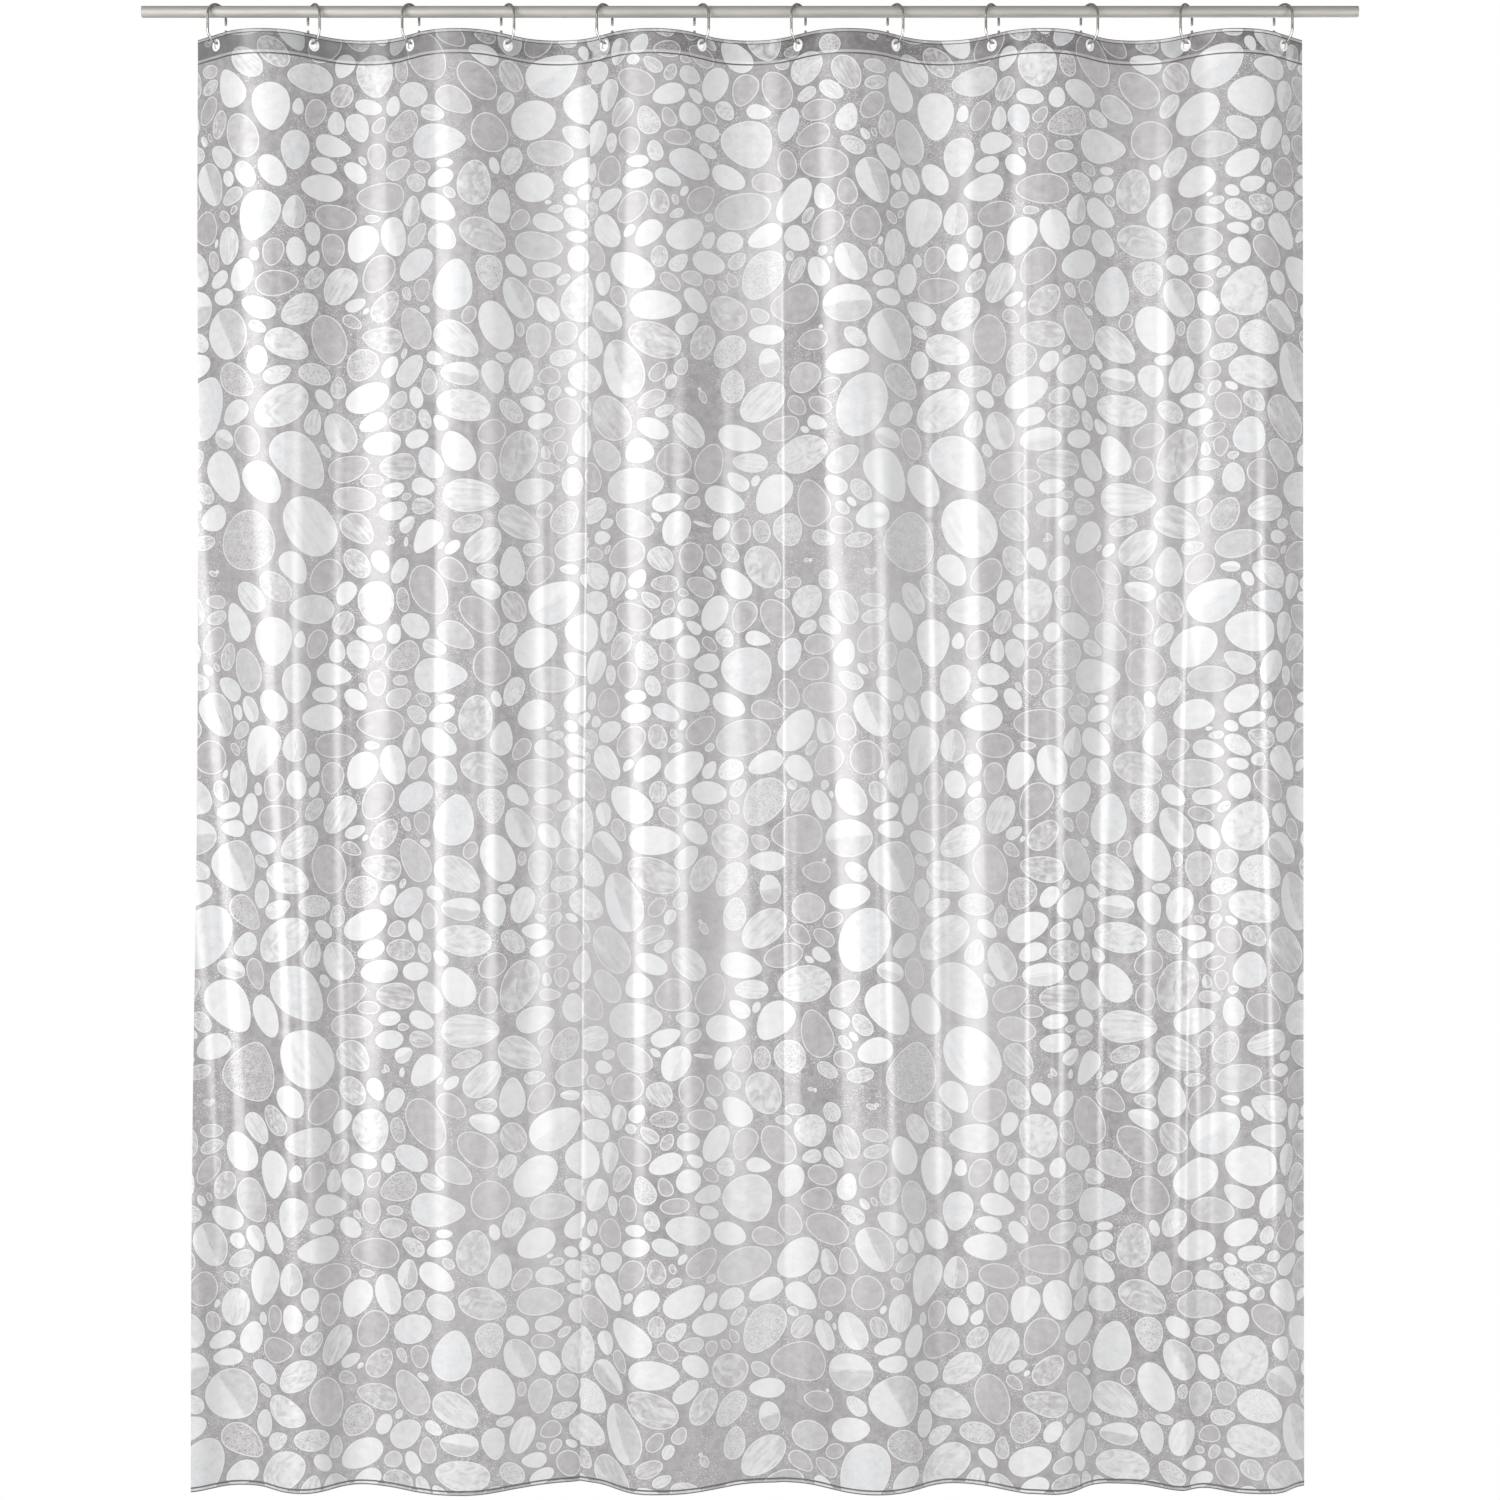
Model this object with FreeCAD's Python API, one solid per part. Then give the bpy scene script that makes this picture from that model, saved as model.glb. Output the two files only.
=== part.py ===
"""A shower curtain of printed vinyl film, hung by twelve open rings on a round steel rod.

Frame: the origin is on the rod's axis, half way along it. +X runs along the rod, +Z is up, and
the room is on the -Y side. All sizes are in millimetres.

The film is one sheet, 1800 wide and 2000 long, gathered to 85% of its width. Between two rings it
bulges out of the line of the rings, to the room after an odd ring and to the bath after an even
one. So that it can fold, the sheet is divided into twelve straight strips, each with a ring's
eyelet in it, and eleven arches between them.
"""

import FreeCAD, Part
import math
import os

os.makedirs("parts", exist_ok=True)

# The rod: a thin steel tube with plain cut ends.
ROD_LENGTH = 1672.0
ROD_RADIUS = 8.0
ROD_WALL = 1.0

# The rings: wire bent to a long loop, open in its back leg.
RING_COUNT = 12
RING_PITCH = 133.3
WIRE_RADIUS = 1.75
RING_ARC_RADIUS = 17.0
RING_TURN = 36.0
RING_TOP_GAP = 0.3
RING_LOWEST = -43.1
RING_END_UPPER = -16.0
RING_END_LOWER = -22.0

# The film, as cut and as hung. Its solid is thicker than the real film, 0.15.
FILM_WIDTH = 1800.0
FILM_LENGTH = 2000.0
FILM_TOP = -31.0
FILM_THICKNESS = 1.0
FILM_SLOPE = 45.0
EDGE_INSET = 45.0
STRIP_GAP = 0.5

# The eyelets: a front half with a neck, and a back half pressed on to the neck.
EYELET_DEPTH = 15.0
EYELET_RADIUS = 8.5
EYELET_HOLE_RADIUS = 5.0
EYELET_NECK_RADIUS = 6.5
EYELET_THICKNESS = 3.5
EYELET_LIP = 1.2
EYELET_EDGE = 0.8
EYELET_CLEARANCE = 0.05
FILM_HOLE_CLEARANCE = 0.3

UP = FreeCAD.Vector(0, 0, 1)
SLOPE = math.radians(FILM_SLOPE)

# Half a bay, from a ring to the next crest, is a straight run and then an arc. The two lengths
# come from the flat width of half a bay and from half the distance between two rings.
half_pitch = RING_PITCH / 2
flat_half_bay = (FILM_WIDTH - 2 * EDGE_INSET) / (2 * (RING_COUNT - 1))
fold_radius = (half_pitch - flat_half_bay * math.cos(SLOPE)) / (
    math.sin(SLOPE) - SLOPE * math.cos(SLOPE)
)
straight_run = flat_half_bay - SLOPE * fold_radius
crest_depth = straight_run * math.sin(SLOPE) + fold_radius * (1 - math.cos(SLOPE))


def ring_x(number):
    """Where a ring hangs along the rod, counting from 1 at the left."""
    return (number - (RING_COUNT + 1) / 2) * RING_PITCH


def room_side(number):
    """1 for an odd ring, after which the film bulges into the room, and -1 for an even one."""
    return 1 if number % 2 else -1


def export(shape, name):
    """Write one node's STEP file and say what it holds."""
    shape.exportStep("parts/" + name + ".step")
    box = shape.BoundBox
    print(f"{name}: {len(shape.Solids)} solid, {shape.Volume / 1000:.2f} cm3, "
          f"x {box.XMin:.1f} to {box.XMax:.1f}, z {box.ZMin:.1f} to {box.ZMax:.1f}")


def make_rod():
    """The tube, from one cut end to the other."""
    start = FreeCAD.Vector(-ROD_LENGTH / 2, 0, 0)
    along = FreeCAD.Vector(1, 0, 0)
    outside = Part.makeCylinder(ROD_RADIUS, ROD_LENGTH, start, along)
    inside = Part.makeCylinder(ROD_RADIUS - ROD_WALL, ROD_LENGTH, start, along)
    return outside.cut(inside)


def make_ring(number):
    """One open ring, its wire running from the upper end over the rod and under to the lower end.

    It is drawn in the XZ plane with its closed leg at -X, then turned about its own upright axis
    to its place: the closed leg comes to the front.
    """
    top = ROD_RADIUS + RING_TOP_GAP + WIRE_RADIUS
    upper_centre = top - RING_ARC_RADIUS
    lower_centre = RING_LOWEST + RING_ARC_RADIUS
    side = RING_ARC_RADIUS

    def at(x, z):
        return FreeCAD.Vector(x, 0, z)

    upper_end = at(side, RING_END_UPPER + WIRE_RADIUS)
    lower_end = at(side, RING_END_LOWER - WIRE_RADIUS)
    path = Part.Wire([
        Part.LineSegment(upper_end, at(side, upper_centre)).toShape(),
        Part.Arc(at(side, upper_centre), at(0, top), at(-side, upper_centre)).toShape(),
        Part.LineSegment(at(-side, upper_centre), at(-side, lower_centre)).toShape(),
        Part.Arc(at(-side, lower_centre), at(0, RING_LOWEST), at(side, lower_centre)).toShape(),
        Part.LineSegment(at(side, lower_centre), lower_end).toShape(),
    ])
    section = Part.Wire([Part.makeCircle(WIRE_RADIUS, upper_end, UP)])
    wire = path.makePipeShell([section], True, True)
    for end in (upper_end, lower_end):
        wire = wire.fuse(Part.makeSphere(WIRE_RADIUS, end))
    wire = wire.removeSplitter()
    # An odd ring's closed leg turns from -X to the front left, an even ring's to the front right.
    turn = 90 - RING_TURN if room_side(number) > 0 else 90 + RING_TURN
    wire.rotate(FreeCAD.Vector(0, 0, 0), UP, turn)
    wire.translate(FreeCAD.Vector(ring_x(number), 0, 0))
    return wire.Solids[0]


def film_placement(number):
    """At a ring, the film's own axes: X along the film, Y through it to the bath, Z up."""
    turn = FreeCAD.Rotation(UP, -FILM_SLOPE * room_side(number))
    return FreeCAD.Placement(FreeCAD.Vector(ring_x(number), 0, 0), turn)


def make_panel(number):
    """The straight strip of film at one ring, with the hole for the eyelet's neck."""
    inner_run = straight_run - STRIP_GAP / 2
    left = EDGE_INSET if number == 1 else inner_run
    right = EDGE_INSET if number == RING_COUNT else inner_run
    corner = FreeCAD.Vector(-left, -FILM_THICKNESS / 2, FILM_TOP - FILM_LENGTH)
    strip = Part.makeBox(left + right, FILM_THICKNESS, FILM_LENGTH, corner)
    hole_start = FreeCAD.Vector(0, -FILM_THICKNESS, FILM_TOP - EYELET_DEPTH)
    through = FreeCAD.Vector(0, 1, 0)
    hole_radius = EYELET_NECK_RADIUS + FILM_HOLE_CLEARANCE
    strip = strip.cut(Part.makeCylinder(hole_radius, 2 * FILM_THICKNESS, hole_start, through))
    strip.Placement = film_placement(number)
    return strip


def make_fold(number):
    """The arch of film between one ring and the next."""
    side = room_side(number)
    middle = ring_x(number) + half_pitch
    centre_y = -side * (crest_depth - fold_radius)
    foot = SLOPE - STRIP_GAP / 2 / fold_radius
    bottom = FILM_TOP - FILM_LENGTH

    def at(radius, angle):
        y = centre_y - side * radius * math.cos(angle)
        return FreeCAD.Vector(middle + radius * math.sin(angle), y, bottom)

    outer = fold_radius + FILM_THICKNESS / 2
    inner = fold_radius - FILM_THICKNESS / 2
    outline = Part.Wire([
        Part.Arc(at(outer, -foot), at(outer, 0), at(outer, foot)).toShape(),
        Part.LineSegment(at(outer, foot), at(inner, foot)).toShape(),
        Part.Arc(at(inner, foot), at(inner, 0), at(inner, -foot)).toShape(),
        Part.LineSegment(at(inner, -foot), at(outer, -foot)).toShape(),
    ])
    return Part.Face(outline).extrude(FreeCAD.Vector(0, 0, FILM_LENGTH))


def revolved(points, number):
    """An eyelet half from its outline: (radius, distance from the film's middle) pairs.

    Three points in a bracket of their own are an arc. The outline turns round the hole's axis.
    """
    edges = []
    last = None
    for step in points:
        arc = isinstance(step[0], tuple)
        stops = [FreeCAD.Vector(r, -y, 0) for r, y in (step if arc else [step])]
        if arc and last is not None and (stops[0] - last).Length > 1e-6:
            edges.append(Part.LineSegment(last, stops[0]).toShape())
        elif not arc and last is not None:
            edges.append(Part.LineSegment(last, stops[0]).toShape())
        if arc:
            edges.append(Part.Arc(*stops).toShape())
        last = stops[-1]
    first = edges[0].Vertexes[0].Point
    if (last - first).Length > 1e-6:
        edges.append(Part.LineSegment(last, first).toShape())
    face = Part.Face(Part.Wire(Part.__sortEdges__(edges)))
    half = face.revolve(FreeCAD.Vector(0, 0, 0), FreeCAD.Vector(0, 1, 0), 360)
    half.translate(FreeCAD.Vector(0, 0, FILM_TOP - EYELET_DEPTH))
    half.Placement = film_placement(number).multiply(half.Placement)
    return half.Solids[0]


def rounded(centre_r, centre_y, radius, start, end):
    """Three points on an arc, from one angle in degrees to another, 0 being outward."""
    angles = (start, (start + end) / 2, end)
    return tuple(
        (centre_r + radius * math.cos(math.radians(a)), centre_y + radius * math.sin(math.radians(a)))
        for a in angles
    )


def make_eyelet_front(number):
    """The half on the room side: a flange, the rounded lip of the hole, and the neck."""
    face = EYELET_THICKNESS / 2
    seat = FILM_THICKNESS / 2 + EYELET_CLEARANCE
    lip = EYELET_HOLE_RADIUS + EYELET_LIP
    return revolved([
        rounded(lip, face - EYELET_LIP, EYELET_LIP, 90, 180),
        rounded(lip, EYELET_LIP - face, EYELET_LIP, 180, 270),
        (EYELET_NECK_RADIUS, -face),
        (EYELET_NECK_RADIUS, seat),
        (EYELET_RADIUS, seat),
        rounded(EYELET_RADIUS - EYELET_EDGE, face - EYELET_EDGE, EYELET_EDGE, 0, 90),
    ], number)


def make_eyelet_back(number):
    """The half on the bath side: a flat ring held on the front half's neck."""
    face = EYELET_THICKNESS / 2
    seat = FILM_THICKNESS / 2 + EYELET_CLEARANCE
    inside = EYELET_NECK_RADIUS + EYELET_CLEARANCE
    return revolved([
        rounded(EYELET_RADIUS - EYELET_EDGE, EYELET_EDGE - face, EYELET_EDGE, 270, 360),
        (EYELET_RADIUS, -seat),
        (inside, -seat),
        (inside, -face),
    ], number)


print(f"fold radius {fold_radius:.2f}, straight run {straight_run:.2f}, "
      f"crest depth {crest_depth:.2f}, flat half bay {flat_half_bay:.2f}")

export(make_rod(), "curtain_rod")
for number in range(1, RING_COUNT + 1):
    export(make_ring(number), f"ring_{number:02d}")
    export(make_eyelet_front(number), f"eyelet_front_{number:02d}")
    export(make_eyelet_back(number), f"eyelet_back_{number:02d}")
    export(make_panel(number), f"film_panel_{number:02d}")
for number in range(1, RING_COUNT):
    export(make_fold(number), f"film_fold_{number:02d}")
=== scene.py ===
# %% [markdown]
# # A shower curtain on its rod
#
# A sheet of thin plastic film, printed all over with pebbles, hangs from twelve
# wire rings on a straight steel tube. Everything here is built around the packed
# CAD parts: the frame gives each place, and the rod and the two outer strips ride
# on a body of it.

# %% The frame and its measures
import math

import bmesh
import bpy
import numpy as np
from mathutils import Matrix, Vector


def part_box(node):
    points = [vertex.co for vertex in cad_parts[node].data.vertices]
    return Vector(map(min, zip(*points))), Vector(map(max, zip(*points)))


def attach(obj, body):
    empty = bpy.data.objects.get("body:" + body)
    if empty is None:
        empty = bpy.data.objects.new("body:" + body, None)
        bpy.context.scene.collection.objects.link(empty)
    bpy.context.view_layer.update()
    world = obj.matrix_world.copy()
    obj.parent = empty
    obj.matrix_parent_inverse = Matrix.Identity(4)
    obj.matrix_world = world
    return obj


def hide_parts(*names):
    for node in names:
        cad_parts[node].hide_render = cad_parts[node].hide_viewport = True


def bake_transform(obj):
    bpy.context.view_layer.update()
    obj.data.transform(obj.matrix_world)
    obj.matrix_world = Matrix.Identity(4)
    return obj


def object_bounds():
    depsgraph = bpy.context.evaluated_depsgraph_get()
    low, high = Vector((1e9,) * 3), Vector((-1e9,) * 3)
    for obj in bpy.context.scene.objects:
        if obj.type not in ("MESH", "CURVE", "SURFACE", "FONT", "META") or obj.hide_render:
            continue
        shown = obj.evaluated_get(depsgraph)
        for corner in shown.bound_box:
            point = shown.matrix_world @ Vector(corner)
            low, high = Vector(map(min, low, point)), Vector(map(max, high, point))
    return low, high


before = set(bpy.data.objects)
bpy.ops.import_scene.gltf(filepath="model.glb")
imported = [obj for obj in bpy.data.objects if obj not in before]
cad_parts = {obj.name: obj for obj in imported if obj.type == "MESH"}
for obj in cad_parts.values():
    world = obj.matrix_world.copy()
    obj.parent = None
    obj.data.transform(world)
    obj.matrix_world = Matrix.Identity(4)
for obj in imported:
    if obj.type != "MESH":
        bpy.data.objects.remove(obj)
cad_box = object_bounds()
MM = 0.001
ring_names = sorted(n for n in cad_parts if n.startswith("ring_"))
print("CAD box, mm:", [round(c / MM) for corner in cad_box for c in corner])

# %% [markdown]
# ## Helpers
#
# Colours are written as the sRGB hex values a paint chart would give, and one
# function turns them to the linear values that the shaders work with. Materials
# are trees of nodes, so a second function adds one node with its settings and
# links. A third function turns a bmesh into an object that sits at the origin.


# %% Colour, node and piece helpers
def linear(hex_code):
    """An sRGB hex colour as linear RGBA."""
    channels = [int(hex_code[i : i + 2], 16) / 255 for i in (1, 3, 5)]
    bent = [c / 12.92 if c <= 0.04045 else ((c + 0.055) / 1.055) ** 2.4 for c in channels]
    return (*bent, 1.0)


def add(tree, kind, links=None, **settings):
    """Adds a shader node. links gives each input a value or another node's output."""
    node = tree.nodes.new("ShaderNode" + kind)
    for name, value in settings.items():
        setattr(node, name, value)
    for socket, value in (links or {}).items():
        if isinstance(value, bpy.types.NodeSocket):
            tree.links.new(value, node.inputs[socket])
        else:
            node.inputs[socket].default_value = value
    return node


def new_material(name):
    """An empty material, with its tree and its surface shader."""
    material = bpy.data.materials.new(name)
    material.use_nodes = True
    tree = material.node_tree
    tree.nodes.clear()
    output = add(tree, "OutputMaterial")
    shader = add(tree, "BsdfPrincipled")
    tree.links.new(shader.outputs["BSDF"], output.inputs["Surface"])
    return material, tree, shader


def new_piece(name, mesh_maker, material):
    """Turns a bmesh into a smooth-shaded object that wears one material."""
    mesh = bpy.data.meshes.new(name)
    mesh_maker.to_mesh(mesh)
    mesh_maker.free()
    mesh.materials.append(material)
    mesh.shade_smooth()
    piece = bpy.data.objects.new(name, mesh)
    bpy.context.scene.collection.objects.link(piece)
    return piece


print("sRGB mid grey is linear", round(linear("#808080")[0], 3))

# %% [markdown]
# ## Camera
#
# The curtain is seen square on, from the height of its middle and from far
# enough away that the rod's two ends look alike. A long lens does that, with
# neither shift nor depth of field.

# %% Camera
CAMERA_AWAY = 3.9
VIEW_WIDTH = 2.0625  # what the picture spans at the rod, in metres
SENSOR = 36.0
lowest, highest = cad_box
picture_top = highest.z + 0.0045

camera_data = bpy.data.cameras.new("camera")
camera_data.sensor_width = SENSOR
camera_data.lens = SENSOR * CAMERA_AWAY / VIEW_WIDTH
camera = bpy.data.objects.new("camera", camera_data)
camera.location = (0, -CAMERA_AWAY, picture_top - VIEW_WIDTH / 2)
camera.rotation_euler = (math.pi / 2, 0, 0)
bpy.context.scene.collection.objects.link(camera)
bpy.context.scene.camera = camera
print("lens", round(camera_data.lens, 1), "mm, at height", round(camera.location.z, 3))

# %% [markdown]
# ## Floor and light
#
# The film lets light through, so what stands behind it matters as much as what
# shines on it. The surroundings are a white studio: white where the camera looks,
# and a softer grey for what lights the object, so that folds keep their shade and
# wire keeps its dark edges. Tall soft boxes stand in front to draw upright streaks
# of gloss on the folds.

# %% White studio
scene = bpy.context.scene
scene.view_settings.view_transform = "Standard"

world = bpy.data.worlds.new("white_studio")
scene.world = world
world.use_nodes = True
sky = world.node_tree
sky.nodes.clear()
seen = add(sky, "Background", {"Color": (1, 1, 1, 1), "Strength": 1.0})
direction = add(sky, "SeparateXYZ", {0: add(sky, "TexCoord").outputs["Generated"]})
side_fade = add(
    sky,
    "MapRange",
    {
        "Value": direction.outputs["X"],
        "From Min": -0.9, "From Max": 0.9, "To Min": 0.4, "To Max": 0.34,
    },
)
lit = add(sky, "Background", {"Color": (1, 1, 1, 1), "Strength": side_fade.outputs[0]})
who_looks = add(sky, "LightPath")
both = add(
    sky,
    "MixShader",
    {0: who_looks.outputs["Is Camera Ray"], 1: lit.outputs[0], 2: seen.outputs[0]},
)
sky_out = add(sky, "OutputWorld")
sky.links.new(both.outputs[0], sky_out.inputs["Surface"])

FLOOR_BELOW = 0.09  # the hem hangs this far above the floor
FLOOR_HALF = 6.0
floor_material, floor_tree, floor_shader = new_material("white_studio_floor")
floor_shader.inputs["Base Color"].default_value = linear("#F7F7F6")
floor_shader.inputs["Roughness"].default_value = 0.8
floor_white = add(floor_tree, "Emission", {"Color": (1, 1, 1, 1), "Strength": 1.0})
floor_looks = add(floor_tree, "LightPath").outputs["Is Camera Ray"]
floor_both = add(
    floor_tree, "MixShader", {0: floor_looks, 1: floor_shader.outputs[0], 2: floor_white.outputs[0]}
)
floor_out = next(n for n in floor_tree.nodes if n.bl_idname == "ShaderNodeOutputMaterial")
floor_tree.links.new(floor_both.outputs[0], floor_out.inputs["Surface"])
floor_maker = bmesh.new()
bmesh.ops.create_grid(floor_maker, x_segments=1, y_segments=1, size=FLOOR_HALF)
bmesh.ops.translate(floor_maker, verts=floor_maker.verts, vec=(0, 0, lowest.z - FLOOR_BELOW))
floor = new_piece("studio_floor", floor_maker, floor_material)


# %% Soft boxes
def soft_box(name, place, aim, width, height, watts):
    """A rectangular area light at a place, turned to face a point."""
    light = bpy.data.lights.new(name, "AREA")
    light.shape = "RECTANGLE"
    light.size, light.size_y, light.energy = width, height, watts
    lamp = bpy.data.objects.new(name, light)
    lamp.location = place
    toward = Vector(aim) - Vector(place)
    lamp.rotation_euler = toward.to_track_quat("-Z", "Y").to_euler()
    lamp.visible_camera = False
    scene.collection.objects.link(lamp)


middle_z = (lowest.z + highest.z) / 2
soft_box("left_tall_box", (-2.4, -2.7, middle_z), (0, 0, middle_z), 1.9, 3.4, 110)
soft_box("right_tall_box", (1.1, -3.8, middle_z), (0.2, 0, middle_z), 0.22, 3.4, 16)
soft_box("right_broad_box", (3.2, -2.4, middle_z - 0.2), (0.1, 0, middle_z - 0.2), 1.4, 2.4, 58)
soft_box("front_fill_box", (-0.9, -5.2, middle_z + 1.4), (0, 0, middle_z), 2.2, 1.4, 26)
soft_box("back_tall_box", (1.7, 3.2, middle_z), (0, 0, middle_z), 1.4, 3.0, 70)

# %% [markdown]
# ## The rod
#
# A steel tube 16 mm across with a 1 mm wall, cut square and left open at both
# ends. It could stay as the CAD tube, but its facets would show in the shine, so
# its wall is spun again as a finer tube: a small rectangle of wall is turned round
# the rod's axis, and its cut edges are broken by a fine bevel.

# %% Rod tube
ROD_WALL = 1.0 * MM
ROD_SIDES = 96
CUT_EDGE_BREAK = 0.25 * MM

rod_low, rod_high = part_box("curtain_rod")
rod_radius = (rod_high.z - rod_low.z) / 2
rod_z = (rod_high.z + rod_low.z) / 2


def spun_tube(x_start, x_end, outer, inner, sides):
    """A tube round the X axis, with square ends."""
    maker = bmesh.new()
    corners = [(x_start, outer), (x_end, outer), (x_end, inner), (x_start, inner)]
    verts = [maker.verts.new((x, 0, rod_z + r)) for x, r in corners]
    edges = [maker.edges.new((verts[i], verts[(i + 1) % 4])) for i in range(4)]
    bmesh.ops.spin(
        maker,
        geom=verts + edges,
        cent=(0, 0, rod_z),
        axis=(1, 0, 0),
        angle=math.tau,
        steps=sides,
        use_merge=True,
    )
    bmesh.ops.recalc_face_normals(maker, faces=maker.faces)
    return maker


rod_maker = spun_tube(rod_low.x, rod_high.x, rod_radius, rod_radius - ROD_WALL, ROD_SIDES)
end_rims = [
    e for e in rod_maker.edges
    if abs(e.verts[0].co.x - e.verts[1].co.x) < MM / 10 and e.calc_face_angle(0) > 1
]
bmesh.ops.bevel(
    rod_maker,
    geom=end_rims,
    offset=CUT_EDGE_BREAK,
    offset_type="OFFSET",
    affect="EDGES",
    segments=2,
    profile=0.5,
    material=-1,
)
print("rod faces:", len(rod_maker.faces))

# %% [markdown]
# The tube is mild steel under a satin silver lacquer, metal flakes in a clear
# binder: a warm grey that shines softly round it, partly as a metal does. Fine
# polishing lines run from end to end. They are a noise pressed flat along X, in
# the roughness and a very low bump.

# %% Lacquered steel
steel, tree, shader = new_material("satin_silver_lacquered_steel")
object_place = add(tree, "TexCoord").outputs["Object"]
SCRATCH = 0.5 * MM
scratch_space = add(
    tree, "Mapping", {"Vector": object_place, "Scale": (1 / (60 * MM), 1 / SCRATCH, 1 / SCRATCH)}
).outputs[0]
scratches = add(tree, "TexNoise", {"Vector": scratch_space, "Scale": 1.0, "Detail": 3.0}).outputs[0]
cloud = add(
    tree, "TexNoise", {"Vector": object_place, "Scale": 1 / (90 * MM), "Detail": 2.0}
).outputs[0]
steel_tint = add(
    tree,
    "MixRGB",
    {0: cloud, 1: linear("#A9A7A1"), 2: linear("#B4B2AC")},
).outputs[0]
steel_polish = add(
    tree,
    "MapRange",
    {"Value": scratches, "From Min": 0.3, "From Max": 0.7, "To Min": 0.5, "To Max": 0.6},
).outputs[0]
scratch_bump = add(
    tree, "Bump", {"Height": scratches, "Strength": 0.06, "Distance": 0.02 * MM}
).outputs[0]
shader.inputs["Metallic"].default_value = 0.4
tree.links.new(steel_tint, shader.inputs["Base Color"])
tree.links.new(steel_polish, shader.inputs["Roughness"])
tree.links.new(scratch_bump, shader.inputs["Normal"])

rod = new_piece("rod_tube", rod_maker, steel)
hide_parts("curtain_rod")
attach(rod, "rod")
print("rod length, mm:", round((rod_high.x - rod_low.x) / MM))

# %% [markdown]
# ## The rings and the eyelets
#
# The rings are bent wire and the eyelets are two moulded discs that clip together
# through the film, so the CAD parts already have the right shape and only need
# their finish. The wire is bright nickel plate: a smooth mirror with a slight
# smoky tint, and a little cloudiness where the plating is thin.

# %% Bright plated wire
plate, tree, shader = new_material("bright_nickel_plated_wire")
object_place = add(tree, "TexCoord").outputs["Object"]
bloom = add(
    tree, "TexNoise", {"Vector": object_place, "Scale": 1 / (12 * MM), "Detail": 3.0}
).outputs[0]
plate_tint = add(tree, "MixRGB", {0: bloom, 1: linear("#ABAAA6"), 2: linear("#BFBEBA")}).outputs[0]
plate_polish = add(
    tree,
    "MapRange",
    {"Value": bloom, "From Min": 0.35, "From Max": 0.7, "To Min": 0.16, "To Max": 0.28},
).outputs[0]
shader.inputs["Metallic"].default_value = 1.0
tree.links.new(plate_tint, shader.inputs["Base Color"])
tree.links.new(plate_polish, shader.inputs["Roughness"])

# %% [markdown]
# The eyelets are glossy white polypropylene, injection moulded. The mould leaves
# a surface with the faintest flow ripple, which breaks the highlight up a little.

# %% White moulded plastic
moulded, tree, shader = new_material("white_moulded_polypropylene")
object_place = add(tree, "TexCoord").outputs["Object"]
flow = add(
    tree, "TexNoise", {"Vector": object_place, "Scale": 1 / (5 * MM), "Detail": 2.0}
).outputs[0]
moulded_white = add(
    tree, "MixRGB", {0: flow, 1: linear("#E9EAE8"), 2: linear("#F3F4F3")}
).outputs[0]
flow_bump = add(tree, "Bump", {"Height": flow, "Strength": 0.15, "Distance": 0.05 * MM}).outputs[0]
shader.inputs["Roughness"].default_value = 0.16
shader.inputs["IOR"].default_value = 1.49
tree.links.new(moulded_white, shader.inputs["Base Color"])
tree.links.new(flow_bump, shader.inputs["Normal"])

for name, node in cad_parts.items():
    finish = plate if name.startswith("ring_") else moulded if name.startswith("eyelet_") else None
    if finish:
        node.data.materials.clear()
        node.data.materials.append(finish)
print("rings:", len(ring_names))

# %% [markdown]
# ## The shape of the hanging film
#
# The real curtain is one flat sheet, 1.8 m wide, that its rings hold in folds: it
# crosses straight through each ring at 45 degrees and bulges in an arch between
# two rings, to the room and to the bath in turn. Lower down nothing holds it, so
# the folds wander, crowd together in places and open out in others.
#
# A cloth simulation would need minutes and would not put the folds where they
# hang. So the sheet is a formula: a depth for each place across and down, worked
# out from a list of crests for the rings and one for the hem, with each crest
# running from the one to the other. Each level is then stretched or eased in
# depth until its length across is the sheet's own flat width, as real film can
# fold but not shrink.

# %% Places of the rings and the folds
ring_x = np.array([(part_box(n)[0].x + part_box(n)[1].x) / 2 for n in ring_names]) / MM
pitch = float(np.diff(ring_x).mean())
ring_x = (np.arange(len(ring_x)) - (len(ring_x) - 1) / 2) * pitch
first_eyelet = [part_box("eyelet_front_01"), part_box("eyelet_back_01")]
eyelet_z = (first_eyelet[0][0].z + first_eyelet[0][1].z) / 2 / MM
film_top, film_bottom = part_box("film_panel_01")[1].z / MM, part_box("film_panel_01")[0].z / MM
film_end = -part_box("film_panel_01")[0].x / MM
film_width, film_length = 1800.0, film_top - film_bottom
print(
    "ring pitch", round(pitch, 2), "eyelets at", round(eyelet_z, 1), "film ends at", round(film_end, 1)
)

FOLD_RADIUS = 77.03  # of the arch between two rings
# Across, from a ring to where the arch starts.
RUN = pitch / 2 - FOLD_RADIUS * math.sin(math.pi / 4)
TOP_DEPTH = FOLD_RADIUS * (1 - math.sqrt(0.5)) + RUN  # how far a crest stands out from the rings

# Crests across the hem, left to right, with how far each stands out. The room side
# is negative and the bath side positive, and the outer two are past the sheet's ends.
hem_crests = np.array(
    [-775, -701, -612, -540, -402, -238, -131, 42, 179, 282, 412, 495, 711, 775.0]
)
hem_depths = np.array([-19, 23, -27, 23, -36, 36, -34, 35, -34, 29, -31, 28, -27, 21.0])
top_crests = ring_x[0] - pitch / 2 + pitch * np.arange(-1, len(ring_x) + 1)
top_depths = TOP_DEPTH * np.where(np.arange(len(top_crests)) % 2, 1, -1)
crest_phase = np.random.default_rng(5).uniform(0, math.tau, len(top_crests))
WANDER = 5.0


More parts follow.
